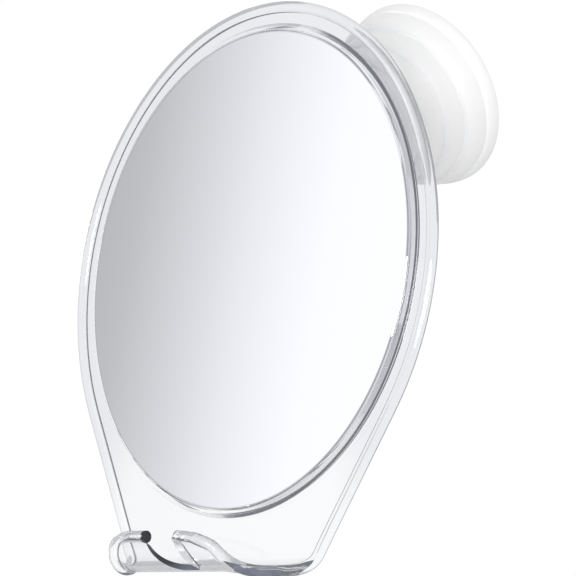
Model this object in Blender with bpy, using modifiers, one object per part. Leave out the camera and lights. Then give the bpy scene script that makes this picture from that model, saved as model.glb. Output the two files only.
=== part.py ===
"""Shower mirror on a twist-lock suction mount, with a swivelling clear frame.

The wall is the plane y = 0 and the room is on its -Y side, +Z is up.  The
origin is the centre of the suction pad's wall face.  The mirror head is
modelled in its own frame: x to the right, y from the mirror's face to the
back, z up, with the origin at the centre of the mirror's face.
"""

import math

import bmesh
import bpy
from mathutils import Matrix, Vector

MM = 0.001
CLEARANCE = 0.3 * MM
OVERRUN = 1.0 * MM
MERGE = 0.01 * MM

# Segments of round shapes
LARGE_SEGMENTS = 90
KNOB_SEGMENTS = 48
SMALL_SEGMENTS = 28
SCREW_SEGMENTS = 12
ROUND_SEGMENTS = LARGE_SEGMENTS * 2 // 3
BEAD_RESOLUTION = 2
WIRE_POINTS = 8
FILLET_STEP = math.radians(6)
SMOOTH_ANGLE = math.radians(35)

# Mirror and the pocket that holds it
MIRROR_DIAMETER = 155.6 * MM
MIRROR_THICKNESS = 2.0 * MM
MIRROR_BEVEL_share = 0.15
TAPE_THICKNESS = 0.4 * MM
TAPE_MARGIN = 3.0 * MM
RING_WALL = 1.0 * MM
WEB_THICKNESS = 1.9 * MM

# Clear frame: flat sheet, rim bead and raised mirror boss
RIM_MARGIN = 10.7 * MM
RIM_DROP = 0.85 * MM
SHEET_THICKNESS = 2.0 * MM
BOSS_RISE = 2.0 * MM
BEAD_DIAMETER = 4.0 * MM
SIDE_ANGLE = math.radians(30.7)

# Curled razor lip along the bottom edge of the sheet, shares of its half width
LIP_MARGIN = 12.7 * MM
CURL_INSET = 3.5 * MM
CURL_OUTER_RADIUS = 6.4 * MM
LIP_ANGLE = math.radians(240)
SADDLE_ANGLE = math.radians(82)
WAVE_TOP_ANGLE = math.radians(227)
WAVE_BEND_ANGLE = math.radians(191)
WAVE_TOP_share = -0.1392
WAVE_BEND_share = 0.1392
WAVE_FOOT_share = 0.58
SIDE_FILLET_share = 0.2784
TAB_FILLET_share = 0.0928
WAVE_TOP_FILLET_share = 0.9281
WAVE_FOOT_FILLET_share = 0.2784
CORNER_FILLET_share = 0.3944
LIP_STEP = 1.9 * MM
CURL_ACROSS_SEGMENTS = 44
CURL_AROUND_SEGMENTS = 12

# Razor notch left of the middle, as shares of the lip's half width
NOTCH_LEFT_share = 0.7193
NOTCH_LEFT_FOOT_share = 0.2436
NOTCH_LEFT_POWER_share = 0.66
NOTCH_RIGHT_share = 0.355
NOTCH_RIGHT_FOOT_share = 0.0742
NOTCH_RIGHT_POWER_share = 1.42
NOTCH_RIGHT_LEAN_share = 0.15
NOTCH_FLOOR_ANGLE = math.radians(107)
NOTCH_OPEN_ANGLE = math.radians(300)
NOTCH_RISE_POWER_share = 1.7
NOTCH_REACH_share = 1.1
NOTCH_DEPTH_share = 0.75
NOTCH_SEGMENTS = 22

# Place of the ball behind the mirror's face and above its centre
BALL_DEPTH = 19.4 * MM
BALL_HEIGHT_share = 0.5
TILT = math.radians(-30.6)
PAN = math.radians(-6.9)

# Ball joint
BALL_RADIUS = 9.0 * MM
BALL_POINTS = 14
NECK_RADIUS = 3.8 * MM
NECK_LENGTH = 17.5 * MM
SHOULDER_RADIUS = 6.5 * MM
SHOULDER_LENGTH = 4.0 * MM
SHANK_RADIUS = 2.6 * MM
SHANK_LENGTH = 6.4 * MM
LINER_THICKNESS = 1.4 * MM
LINER_MOUTH = math.radians(55)
LINER_HOLE = math.radians(30)
LINER_POINTS = 9
SOCKET_WALL = 2.9 * MM
SOCKET_FLANGE_RADIUS = 24.0 * MM
SOCKET_FLANGE_THICKNESS = 3.7 * MM
SOCKET_RIM_ABOVE_BALL = 1.0 * MM
SOCKET_FLOOR_STEP_RADIUS = 7.0 * MM
FRICTION_RING_WIRE = 2.2 * MM
FRICTION_RING_ANGLE = math.radians(50)
COLLAR_WALL = 3.7 * MM
COLLAR_TOP = 6.0 * MM
COLLAR_LIP = math.radians(67)
COLLAR_SEAT_END = math.radians(82)
COLLAR_EDGE_share = 0.3
COLLAR_POINTS = 4
COLLAR_FLARE = 0.8 * MM
COLLAR_GRIPS = 12
COLLAR_GRIP_RADIUS = 2.2 * MM
COLLAR_GRIP_DEPTH = 0.8 * MM

# Screws that hold the socket base on the frame's posts
SOCKET_SCREWS = 4
SOCKET_SCREW_CIRCLE = 19.5 * MM
POST_RADIUS = 3.2 * MM
POST_HEIGHT = 2.7 * MM
PILOT_DEPTH = 3.4 * MM
SCREW_RADIUS = 1.2 * MM
SCREW_HEAD_RADIUS = 2.4 * MM
SCREW_HEAD_HEIGHT = 1.4 * MM
SCREW_LENGTH = 4.4 * MM
SCREW_SLOT_WIDTH = 0.7 * MM
SCREW_SLOT_DEPTH = 0.7 * MM
SCREW_SLOT_REACH_share = 4.0
SCREW_CROWN_share = 0.6
SCREW_TAPER_share = 0.8

# Suction mount: ball centre to wall, tiers of the twist knob
BALL_TO_WALL = 61.0 * MM
KNOB_TO_WALL = 1.3 * MM
TIER_PITCH = 7.1 * MM
TIERS = 5
TIER_STEP = 3.3 * MM
TIER_POINTS = 5
FRONT_RADIUS = 16.2 * MM
BASE_RADIUS = 30.8 * MM
BASE_LENGTH = 5.0 * MM
BASE_CREST_share = 0.78
BACK_RADIUS = 29.9 * MM
KNOB_WALL = 2.4 * MM
WALL_SLANT_share = 1.1
BACK_LIP = 1.3 * MM
CAVITY_MARGIN = 1.5 * MM
FRONT_ROUND = 1.6 * MM
HUB_INNER_RADIUS = 12.6 * MM
HUB_WALL = 4.8 * MM

# Pull stem, swivel and cross pin
STEM_RADIUS = 5.2 * MM
STEM_BORE_RADIUS = 3.9 * MM
SWIVEL_LAND = 6.2 * MM
SWIVEL_WASHER_THICKNESS = 0.8 * MM
SWIVEL_HEAD_HEIGHT = 2.0 * MM
SWIVEL_SCREW_RADIUS = 1.2 * MM
SWIVEL_SCREW_LENGTH = 4.4 * MM
PIN_RADIUS = 1.5 * MM
PIN_HALF_LENGTH = 11.8 * MM
PIN_TO_WALL = 19.5 * MM
STEM_SEAL_WIRE = 1.8 * MM
SEAL_HOUSING_DEPTH = 2.8 * MM

# Twist lock: quarter turn lifts the stem by the travel
LOCK_TURN = math.radians(90)
LOCK_TRAVEL = 2.5 * MM
CAM_LEAD_IN = math.radians(15)
CAM_FOOT_TO_WALL = 13.0 * MM
CAM_FLANGE_THICKNESS = 2.4 * MM
CAM_WALL = 4.7 * MM
CAM_STEPS = 12
RAMP_GAP_share = 0.333
CAM_SCREWS = 3
CAM_SCREW_START = math.radians(80)
CAM_SCREW_RADIUS = 1.0 * MM
CAM_SCREW_HEAD_RADIUS = 1.9 * MM
CAM_SCREW_HEAD_HEIGHT = 1.1 * MM
CAM_SCREW_LENGTH = 7.0 * MM
WASHER_THICKNESS = 1.0 * MM
WASHER_RADIUS = 15.0 * MM

# Pressure ring with the guide hub of the stem
RING_DISC_THICKNESS = 2.3 * MM
GUIDE_WALL = 1.8 * MM
GUIDE_LENGTH = 18.0 * MM
SKIRT_RADIUS = 27.4 * MM
SKIRT_WALL = 3.4 * MM
RING_FACE_RADIUS = 23.0 * MM
RING_SLOPE_TO_WALL = 3.2 * MM
GUIDE_SLOT_MARGIN = 0.9 * MM

# Suction pad and its moulded-in insert
PAD_RADIUS = 27.8 * MM
PAD_THICKNESS = 2.2 * MM
PAD_EDGE_THICKNESS = 1.0 * MM
PAD_EDGE_WIDTH = 4.0 * MM
PAD_FLOOR = 1.2 * MM
PAD_BOSS_RADIUS = 10.0 * MM
PAD_BOSS_HEIGHT = 5.6 * MM
PAD_BOSS_LIP = 1.1 * MM
INSERT_RADIUS = 6.6 * MM
INSERT_THICKNESS = 2.2 * MM
INSERT_NECK_RADIUS = 4.0 * MM
INSERT_STUD_RADIUS = 3.6 * MM
INSERT_STUD_LENGTH = 4.5 * MM

# Derived places of the head, in the mirror's frame
MIRROR_RADIUS = MIRROR_DIAMETER / 2
BALL_HEIGHT = MIRROR_RADIUS * BALL_HEIGHT_share
POCKET_RADIUS = MIRROR_RADIUS + CLEARANCE
BOSS_RADIUS = POCKET_RADIUS + RING_WALL
TAPE_FRONT = MIRROR_THICKNESS + CLEARANCE
WEB_FRONT = TAPE_FRONT + TAPE_THICKNESS + CLEARANCE
WEB_BACK = WEB_FRONT + WEB_THICKNESS
SHEET_FRONT = BOSS_RISE
SHEET_BACK = SHEET_FRONT + SHEET_THICKNESS
BEAD_RADIUS = BEAD_DIAMETER / 2
BEAD_DEPTH = SHEET_FRONT + SHEET_THICKNESS / 2
PATH_RADIUS = MIRROR_RADIUS + RIM_MARGIN - BEAD_RADIUS
SIDE_TANGENT_X = PATH_RADIUS * math.cos(SIDE_ANGLE)
SIDE_TANGENT_Z = -PATH_RADIUS * math.sin(SIDE_ANGLE) - RIM_DROP
CURL_DROP = BOSS_RADIUS + LIP_MARGIN
SIDE_HALF_WIDTH = SIDE_TANGENT_X - (CURL_DROP + SIDE_TANGENT_Z) * math.tan(SIDE_ANGLE)
CURL_HALF_WIDTH = SIDE_HALF_WIDTH - CURL_INSET
CURL_AXIS_DEPTH = SHEET_BACK - CURL_OUTER_RADIUS
CURL_INNER_RADIUS = CURL_OUTER_RADIUS - SHEET_THICKNESS
CURL_PATH_RADIUS = (CURL_OUTER_RADIUS + CURL_INNER_RADIUS) / 2
SOCKET_FRONT = WEB_BACK + CLEARANCE
SOCKET_FLANGE_BACK = SOCKET_FRONT + SOCKET_FLANGE_THICKNESS
LINER_INNER_RADIUS = BALL_RADIUS + CLEARANCE
LINER_OUTER_RADIUS = LINER_INNER_RADIUS + LINER_THICKNESS
SEAT_RADIUS = LINER_OUTER_RADIUS + CLEARANCE
SOCKET_OUTER_RADIUS = SEAT_RADIUS + CLEARANCE + SOCKET_WALL
COLLAR_INNER_RADIUS = SOCKET_OUTER_RADIUS + CLEARANCE
COLLAR_RADIUS = COLLAR_INNER_RADIUS + COLLAR_WALL
COLLAR_SKIRT = BALL_DEPTH - SOCKET_FLANGE_BACK - SCREW_HEAD_HEIGHT - 3 * CLEARANCE

# Derived places of the mount, as distances from the wall
SHOULDER_TO_WALL = BALL_TO_WALL - NECK_LENGTH
STUD_FOOT_TO_WALL = SHOULDER_TO_WALL - SHOULDER_LENGTH
STEM_FRONT_TO_WALL = STUD_FOOT_TO_WALL - CLEARANCE
KNOB_FRONT_TO_WALL = KNOB_TO_WALL + BASE_LENGTH + (TIERS - 1) * TIER_PITCH
HUB_OUTER_RADIUS = HUB_INNER_RADIUS + HUB_WALL
INSERT_FRONT_TO_WALL = PAD_FLOOR + CLEARANCE
INSERT_BACK_TO_WALL = INSERT_FRONT_TO_WALL + INSERT_THICKNESS
STEM_FOOT_TO_WALL = PAD_BOSS_HEIGHT + PAD_BOSS_LIP + CLEARANCE
SWIVEL_LAND_TO_WALL = STEM_FRONT_TO_WALL - SWIVEL_LAND
GUIDE_INNER_RADIUS = STEM_RADIUS + CLEARANCE
GUIDE_RADIUS = GUIDE_INNER_RADIUS + GUIDE_WALL
CAM_INNER_RADIUS = GUIDE_RADIUS + CLEARANCE
CAM_RADIUS = CAM_INNER_RADIUS + CAM_WALL
WASHER_TO_WALL = CAM_FOOT_TO_WALL - CLEARANCE - WASHER_THICKNESS
RING_FRONT_TO_WALL = WASHER_TO_WALL - CLEARANCE
RING_BACK_TO_WALL = RING_FRONT_TO_WALL - RING_DISC_THICKNESS
CAM_FLANGE_FRONT = CAM_FOOT_TO_WALL + CAM_FLANGE_THICKNESS


def clear_scene():
    """Remove every object of the open scene."""
    for old in list(bpy.data.objects):
        bpy.data.objects.remove(old, do_unlink=True)


def new_collection(name):
    """Return a collection linked to the scene."""
    made = bpy.data.collections.new(name)
    bpy.context.scene.collection.children.link(made)
    return made


def material(name, colour, roughness, metallic=0.0, alpha=1.0, transmission=0.0):
    """Return a Principled material with one colour and finish."""
    made = bpy.data.materials.new(name)
    made.use_nodes = True
    shader = made.node_tree.nodes["Principled BSDF"]
    shader.inputs["Base Color"].default_value = (*colour, 1.0)
    shader.inputs["Roughness"].default_value = roughness
    shader.inputs["Metallic"].default_value = metallic
    shader.inputs["Alpha"].default_value = alpha
    shader.inputs["Transmission Weight"].default_value = transmission
    made.diffuse_color = (*colour, alpha)
    return made


def add_object(name, mesh, finish, parent=None, place=(0, 0, 0)):
    """Link a part to the model at a place in its parent's frame."""
    made = bpy.data.objects.new(name, mesh)
    PARTS.objects.link(made)
    made.data.materials.append(finish)
    made.parent = parent
    made.location = place
    return made


def as_cutter(made):
    """Move an object to the cutters, drawn as wire."""
    PARTS.objects.unlink(made)
    CUTTERS.objects.link(made)
    made.hide_render = True
    made.display_type = "WIRE"
    return made


def combine(target, tool, operation):
    """Join a tool to a part, or cut it out of the part."""
    step = target.modifiers.new(tool.name, "BOOLEAN")
    step.operation = operation
    step.object = tool
    step.solver = "EXACT"


def smooth(mesh, angle=SMOOTH_ANGLE):
    """Shade a round piece smooth, with its edges sharp."""
    mesh.shade_smooth()
    mesh.set_sharp_from_angle(angle=angle)


def volume_of(made):
    """Return the signed volume of an object with its modifiers."""
    bpy.context.view_layer.update()
    graph = bpy.context.evaluated_depsgraph_get()
    shape = bmesh.new()
    shape.from_object(made, graph)
    volume = shape.calc_volume(signed=True)
    shape.free()
    return volume


def turned(name, profile, finish, parent=None, place=(0, 0, 0), segments=SMALL_SEGMENTS):
    """Turn a profile of (radius, y) points about the Y axis.

    A profile that starts and ends on the axis is left open, any other
    is closed to a ring."""
    on_axis = profile[0][0] == 0 and profile[-1][0] == 0
    count = len(profile)
    edges = [(i, i + 1) for i in range(count - 1)]
    if not on_axis:
        edges.append((count - 1, 0))
    mesh = bpy.data.meshes.new(name)
    mesh.from_pydata([(r, y, 0) for r, y in profile], edges, [])
    made = add_object(name, mesh, finish, parent, place)
    turn = made.modifiers.new("turn", "SCREW")
    turn.axis = "Y"
    turn.angle = math.tau
    turn.steps = segments
    turn.render_steps = segments
    turn.use_merge_vertices = True
    turn.merge_threshold = MERGE
    turn.use_smooth_shade = True
    turn.use_normal_flip = volume_of(made) < 0
    return made


def cylinder(name, radius, front, back, finish, parent=None, place=(0, 0, 0),
             segments=SMALL_SEGMENTS):
    """Return a cylinder along Y from y = front to y = back."""
    mesh = bpy.data.meshes.new(name)
    shape = bmesh.new()
    length = back - front
    middle = Matrix.Translation((0, (front + back) / 2, 0))
    lay = Matrix.Rotation(math.radians(90), 4, "X")
    bmesh.ops.create_cone(shape, cap_ends=True, segments=segments, radius1=radius,
                          radius2=radius, depth=length, matrix=middle @ lay)
    shape.to_mesh(mesh)
    shape.free()
    smooth(mesh)
    return add_object(name, mesh, finish, parent, place)


def box(name, size, centre, finish, parent=None, place=(0, 0, 0)):
    """Return a box of a size about a centre."""
    mesh = bpy.data.meshes.new(name)
    shape = bmesh.new()
    bmesh.ops.create_cube(shape, size=1)
    bmesh.ops.scale(shape, vec=size, verts=shape.verts)
    bmesh.ops.translate(shape, vec=centre, verts=shape.verts)
    shape.to_mesh(mesh)
    shape.free()
    return add_object(name, mesh, finish, parent, place)


def mesh_of(curve_object):
    """Return the welded mesh of a curve as a new object in its place."""
    bpy.context.view_layer.update()
    graph = bpy.context.evaluated_depsgraph_get()
    mesh = bpy.data.meshes.new_from_object(curve_object.evaluated_get(graph))
    shape = bmesh.new()
    shape.from_mesh(mesh)
    bmesh.ops.remove_doubles(shape, verts=shape.verts, dist=MERGE)
    bmesh.ops.recalc_face_normals(shape, faces=shape.faces)
    shape.to_mesh(mesh)
    shape.free()
    smooth(mesh)
    name = curve_object.name
    made = bpy.data.objects.new(name + "_mesh", mesh)
    PARTS.objects.link(made)
    made.parent = curve_object.parent
    made.matrix_world = curve_object.matrix_world
    bpy.data.objects.remove(curve_object, do_unlink=True)
    made.name = name
    return made


def rounded(corners, step=FILLET_STEP):
    """Return points along corners (x, s, fillet), each corner an arc."""
    points = []
    for i in range(1, len(corners) - 1):
        before = Vector(corners[i - 1][:2])
        at = Vector(corners[i][:2])
        after = Vector(corners[i + 1][:2])
        radius = corners[i][2]
        one = (before - at).normalized()
        two = (after - at).normalized()
        half = one.angle(two) / 2
        reach = radius / math.tan(half)
        centre = at + (one + two).normalized() * (radius / math.sin(half))
        start = at + one * reach - centre
        turn = math.pi - 2 * half
        sign = 1 if one.x * two.y - one.y * two.x < 0 else -1
        count = max(2, math.ceil(turn / step))
        for k in range(count + 1):
            spin = Matrix.Rotation(sign * turn * k / count, 2)
            points.append(centre + spin @ start)
    return points


def divided(points, step):
    """Return a path with points added where its run along s is longer than a step."""
    dense = [points[0]]
    for one, two in zip(points, points[1:]):
        count = max(1, math.ceil(abs(two[1] - one[1]) / step))
        for k in range(1, count + 1):
            dense.append(Vector(one) + (Vector(two) - Vector(one)) * k / count)
    return dense


def side_at(s):
    """Return the half width of the bead's path where its run is s below the curl's start."""
    return SIDE_HALF_WIDTH - s * math.tan(SIDE_ANGLE)


def lip_path():
    """Return the free edge of the sheet below the round, in developed (x, s).

    s runs down the flat sheet and round the curl, and is zero where the
    curl starts."""
    top = LIP_ANGLE * CURL_PATH_RADIUS
    saddle = SADDLE_ANGLE * CURL_PATH_RADIUS
    start = -CURL_DROP - SIDE_TANGENT_Z
    bend = CURL_INSET / math.tan(SIDE_ANGLE)
    half = CURL_HALF_WIDTH
    edge = rounded([
        (-side_at(start), start, 0),
        (-half, bend, half * SIDE_FILLET_share),
        (-half, top, half * TAB_FILLET_share),
        (-half * NOTCH_RIGHT_share, top, half * WAVE_TOP_FILLET_share),
        (half * WAVE_TOP_share, WAVE_TOP_ANGLE * CURL_PATH_RADIUS,
         half * WAVE_TOP_FILLET_share),
        (half * WAVE_BEND_share, WAVE_BEND_ANGLE * CURL_PATH_RADIUS,
         half * WAVE_TOP_FILLET_share),
        (half * WAVE_FOOT_share, saddle, half * WAVE_FOOT_FILLET_share),
        (side_at(saddle), saddle, half * CORNER_FILLET_share),
        (side_at(start), start, 0),
    ])
    return divided(edge, LIP_STEP)


def right_end():
    """Return the x where the lip's right corner leaves the flat sheet."""
    return min([side_at(0)] + [x for x, s in lip_path() if s < 0 < x])


def on_sheet(x, s, radius):
    """Return the point of developed (x, s) at a radius about the curl's axis."""
    if s <= 0:
        return Vector((x, CURL_AXIS_DEPTH + radius, -CURL_DROP - s))
    angle = s / CURL_PATH_RADIUS
    return Vector((x, CURL_AXIS_DEPTH + radius * math.cos(angle),
                   -CURL_DROP - radius * math.sin(angle)))


def round_edge():
    """Return the sheet's round edge in the head's (x, z), from the right over the top."""
    points = []
    sweep = math.pi + 2 * SIDE_ANGLE
    for i in range(ROUND_SEGMENTS + 1):
        angle = -SIDE_ANGLE + sweep * i / ROUND_SEGMENTS
        points.append((PATH_RADIUS * math.cos(angle),
                       PATH_RADIUS * math.sin(angle) - RIM_DROP))
    return points


def bead_points():
    """Return the closed path of the rim bead, round the top and along the lip."""
    lip = [on_sheet(x, s, CURL_PATH_RADIUS) for x, s in lip_path()]
    return lip + [Vector((x, BEAD_DEPTH, z)) for x, z in round_edge()]


def rim_bead(finish, parent, place):
    """Return the round bead on the sheet's free edge, one closed tube."""
    curve = bpy.data.curves.new("rim_bead", "CURVE")
    curve.dimensions = "3D"
    curve.bevel_depth = BEAD_RADIUS
    curve.bevel_resolution = BEAD_RESOLUTION
    curve.use_fill_caps = False
    spline = curve.splines.new("POLY")
    points = bead_points()
    spline.points.add(len(points) - 1)
    for point, where in zip(spline.points, points):
        point.co = (*where, 1)
    spline.use_cyclic_u = True
    return mesh_of(add_object("rim_bead", curve, finish, parent, place))


def flat_sheet(finish, parent, place):
    """Return the flat part of the sheet, its outline filled and thickened."""
    outline = round_edge()
    below = [(x, -CURL_DROP - s) for x, s in lip_path() if s < 0]
    outline += [point for point in below if point[0] < 0]
    outline.append((-CURL_HALF_WIDTH, -CURL_DROP))
    outline.append((right_end(), -CURL_DROP))
    outline += [point for point in below if point[0] > 0]
    curve = bpy.data.curves.new("clear_frame", "CURVE")
    curve.dimensions = "2D"
    curve.fill_mode = "BOTH"
    curve.extrude = SHEET_THICKNESS / 2
    spline = curve.splines.new("POLY")
    spline.points.add(len(outline) - 1)
    for point, where in zip(spline.points, outline):
        point.co = (*where, 0, 1)
    spline.use_cyclic_u = True
    made = add_object("clear_frame", curve, finish, parent)
    made.location = Vector(place) + Vector((0, BEAD_DEPTH, 0))
    made.rotation_euler = (math.radians(90), 0, 0)
    return mesh_of(made)


def strip_solid(name, sections, finish, parent, place):
    """Return a closed solid through sections of four points each."""
    mesh = bpy.data.meshes.new(name)
    shape = bmesh.new()
    rows = [[shape.verts.new(point) for point in section] for section in sections]
    for one, two in zip(rows, rows[1:]):
        for k in range(4):
            shape.faces.new((one[k], one[(k + 1) % 4], two[(k + 1) % 4], two[k]))
    shape.faces.new(rows[0])
    shape.faces.new(rows[-1])
    bmesh.ops.recalc_face_normals(shape, faces=shape.faces)
    bmesh.ops.triangulate(shape, faces=shape.faces)
    shape.to_mesh(mesh)
    shape.free()
    return add_object(name, mesh, finish, parent, place)


def lip_end(path, x):
    """Return how far the lip runs round the curl at a place across it."""
    ends = [0.0]
    for (x0, s0), (x1, s1) in zip(path, path[1:]):
        low, high = min(x0, x1), max(x0, x1)
        if low - MERGE <= x <= high + MERGE:
            share = (x - x0) / (x1 - x0) if high - low > MERGE else 1.0
            ends.append(s0 + (s1 - s0) * min(1.0, max(0.0, share)))
    return max(ends)


def curl(finish, parent, place):
    """Return the curled lip, a shell whose end follows the bead's path."""
    path = [point for point in lip_path() if point.y > 0]
    across = CURL_ACROSS_SEGMENTS
    around = CURL_AROUND_SEGMENTS
    left = -CURL_HALF_WIDTH
    right = right_end()
    skin = MERGE * 2
    outer = CURL_OUTER_RADIUS - skin
    inner = CURL_INNER_RADIUS + skin
    mesh = bpy.data.meshes.new("curl")
    shape = bmesh.new()
    grid = []
    for i in range(across + 1):
        x = left + (right - left) * i / across
        end = max(lip_end(path, x), CLEARANCE)
        row = []
        for j in range(around + 1):
            s = -OVERRUN + (end + OVERRUN) * j / around
            row.append((shape.verts.new(on_sheet(x, s, outer)),
                        shape.verts.new(on_sheet(x, s, inner))))
        grid.append(row)
    for i in range(across):
        for j in range(around):
            for side in (0, 1):
                shape.faces.new((grid[i][j][side], grid[i + 1][j][side],
                                 grid[i + 1][j + 1][side], grid[i][j + 1][side]))
    for i in range(across):
        for j in (0, around):
            shape.faces.new((grid[i][j][0], grid[i + 1][j][0],
                             grid[i + 1][j][1], grid[i][j][1]))
    for j in range(around):
        for i in (0, across):
            shape.faces.new((grid[i][j][0], grid[i][j + 1][0],
                             grid[i][j + 1][1], grid[i][j][1]))
    bmesh.ops.recalc_face_normals(shape, faces=shape.faces)
    bmesh.ops.triangulate(shape, faces=shape.faces)
    shape.to_mesh(mesh)
    shape.free()
    return add_object("curl", mesh, finish, parent, place)


def notch_edges(share):
    """Return the notch's left and right x at a share of its way from foot to lip.

    The left edge sweeps up in a smooth curve, and the right edge is
    upright at its foot and leans over the notch near the lip."""
    sweep = share ** NOTCH_LEFT_POWER_share
    left = NOTCH_LEFT_FOOT_share + (NOTCH_LEFT_share - NOTCH_LEFT_FOOT_share) * sweep
    lean = max(0.0, (share - NOTCH_RIGHT_LEAN_share) / (1 - NOTCH_RIGHT_LEAN_share))
    lean = lean ** NOTCH_RIGHT_POWER_share
    right = NOTCH_RIGHT_FOOT_share + (NOTCH_RIGHT_share - NOTCH_RIGHT_FOOT_share) * lean
    return -left * CURL_HALF_WIDTH, -right * CURL_HALF_WIDTH


def notch_cutter(finish, parent, place):
    """Return the solid cut out of the lip for the razor's neck."""
    inner = CURL_INNER_RADIUS - BEAD_DIAMETER * NOTCH_DEPTH_share
    outer = CURL_OUTER_RADIUS + BEAD_DIAMETER * NOTCH_DEPTH_share
    sections = []
    for j in range(NOTCH_SEGMENTS + 1):
        rise = (j / NOTCH_SEGMENTS) ** NOTCH_RISE_POWER_share
        angle = NOTCH_FLOOR_ANGLE + (NOTCH_OPEN_ANGLE - NOTCH_FLOOR_ANGLE) * rise
        share = (angle - NOTCH_FLOOR_ANGLE) / (LIP_ANGLE - NOTCH_FLOOR_ANGLE)
        left, right = notch_edges(min(share, NOTCH_REACH_share))
        s = angle * CURL_PATH_RADIUS
        sections.append((on_sheet(left, s, inner), on_sheet(right, s, inner),
                         on_sheet(right, s, outer), on_sheet(left, s, outer)))
    return strip_solid("notch", sections, finish, parent, place)


def circle_places(count, radius, offset=0.0):
    """Return places (x, 0, z) evenly round the Y axis."""
    places = []
    for i in range(count):
        angle = offset + math.tau * i / count
        places.append((radius * math.cos(angle), 0, radius * math.sin(angle)))
    return places


def add_places(one, two):
    """Return the sum of two places."""
    return tuple(a + b for a, b in zip(one, two))


def clear_frame(head, face, finish):
    """Build the clear frame: sheet, boss, bead, curled lip, posts and notch."""
    frame = flat_sheet(finish, head, face)
    boss = as_cutter(cylinder("boss", BOSS_RADIUS, 0, WEB_BACK, finish, head, face, LARGE_SEGMENTS))
    combine(frame, boss, "UNION")
    combine(frame, as_cutter(curl(finish, head, face)), "UNION")
    combine(frame, as_cutter(rim_bead(finish, head, face)), "UNION")
    pocket = as_cutter(cylinder("mirror_pocket", POCKET_RADIUS, -OVERRUN, WEB_FRONT,
                                finish, head, face, LARGE_SEGMENTS))
    combine(frame, pocket, "DIFFERENCE")
    combine(frame, as_cutter(notch_cutter(finish, head, face)), "DIFFERENCE")
    ball = add_places(face, (0, 0, BALL_HEIGHT))
    offset = math.tau / SOCKET_SCREWS / 2
    for i, where in enumerate(circle_places(SOCKET_SCREWS, SOCKET_SCREW_CIRCLE, offset), 1):
        place = add_places(ball, where)
        root = (WEB_FRONT + WEB_BACK) / 2
        post = as_cutter(cylinder(f"post_{i}", POST_RADIUS, root, WEB_BACK + POST_HEIGHT,
                                  finish, head, place, SCREW_SEGMENTS))
        combine(frame, post, "UNION")
        top = WEB_BACK + POST_HEIGHT
        pilot = as_cutter(cylinder(f"pilot_{i}", SCREW_RADIUS + CLEARANCE, top - PILOT_DEPTH,
                                   top + OVERRUN, finish, head, place, SCREW_SEGMENTS))
        combine(frame, pilot, "DIFFERENCE")
    return frame


def mirror_parts(head, face, glass, tape):
    """Build the mirror disc and the tape that bonds it in its pocket."""
    bevel = MIRROR_THICKNESS * MIRROR_BEVEL_share
    turned("mirror_disc", [
        (0, 0),
        (MIRROR_RADIUS - bevel, 0),
        (MIRROR_RADIUS, bevel),
        (MIRROR_RADIUS, MIRROR_THICKNESS),
        (0, MIRROR_THICKNESS),
    ], glass, head, face, LARGE_SEGMENTS)
    turned("mounting_tape", [
        (0, TAPE_FRONT),
        (MIRROR_RADIUS - TAPE_MARGIN, TAPE_FRONT),
        (MIRROR_RADIUS - TAPE_MARGIN, TAPE_FRONT + TAPE_THICKNESS),
        (0, TAPE_FRONT + TAPE_THICKNESS),
    ], tape, head, face, LARGE_SEGMENTS)


def arc_points(radius, start, stop, count):
    """Return (radius, y) points of an arc about the ball, angles from +y."""
    points = []
    for i in range(count + 1):
        angle = start + (stop - start) * i / count
        points.append((radius * math.sin(angle), radius * math.cos(angle)))
    return points


def wire_points(radius, y, wire_radius):
    """Return the (radius, y) points round the section of a ring of wire."""
    points = []
    for k in range(WIRE_POINTS):
        turn = math.tau * k / WIRE_POINTS
        points.append((radius + wire_radius * math.cos(turn), y + wire_radius * math.sin(turn)))
    return points


def socket_base(head, finish):
    """Build the socket base: screwed flange and the cup round the ball."""
    front = SOCKET_FRONT - BALL_DEPTH
    flange = SOCKET_FLANGE_BACK - BALL_DEPTH
    bore = SEAT_RADIUS + CLEARANCE
    ring_y = -(LINER_OUTER_RADIUS + CLEARANCE + FRICTION_RING_WIRE / 2) * math.cos(
        FRICTION_RING_ANGLE)
    ledge = ring_y - FRICTION_RING_WIRE / 2 - CLEARANCE
    floor = -SEAT_RADIUS
    base = turned("socket_base", [
        (0, front),
        (SOCKET_FLANGE_RADIUS, front),
        (SOCKET_FLANGE_RADIUS, flange),
        (SOCKET_OUTER_RADIUS, flange),
        (SOCKET_OUTER_RADIUS, SOCKET_RIM_ABOVE_BALL),
        (bore, SOCKET_RIM_ABOVE_BALL),
        (bore, ledge),
        (SOCKET_FLOOR_STEP_RADIUS, ledge),
        (SOCKET_FLOOR_STEP_RADIUS, floor),
        (0, floor),
    ], finish, head, segments=KNOB_SEGMENTS)
    offset = math.tau / SOCKET_SCREWS / 2
    pocket_back = WEB_BACK + POST_HEIGHT + CLEARANCE - BALL_DEPTH
    for i, where in enumerate(circle_places(SOCKET_SCREWS, SOCKET_SCREW_CIRCLE, offset), 1):
        pocket = as_cutter(cylinder(f"post_pocket_{i}", POST_RADIUS + CLEARANCE,
                                    front - OVERRUN, pocket_back, finish, head, where,
                                    SCREW_SEGMENTS))
        combine(base, pocket, "DIFFERENCE")
        hole = as_cutter(cylinder(f"screw_hole_{i}", SCREW_RADIUS + CLEARANCE,
                                  pocket_back - OVERRUN / 2, flange + OVERRUN, finish, head,
                                  where, SCREW_SEGMENTS))
        combine(base, hole, "DIFFERENCE")
    return base


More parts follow.
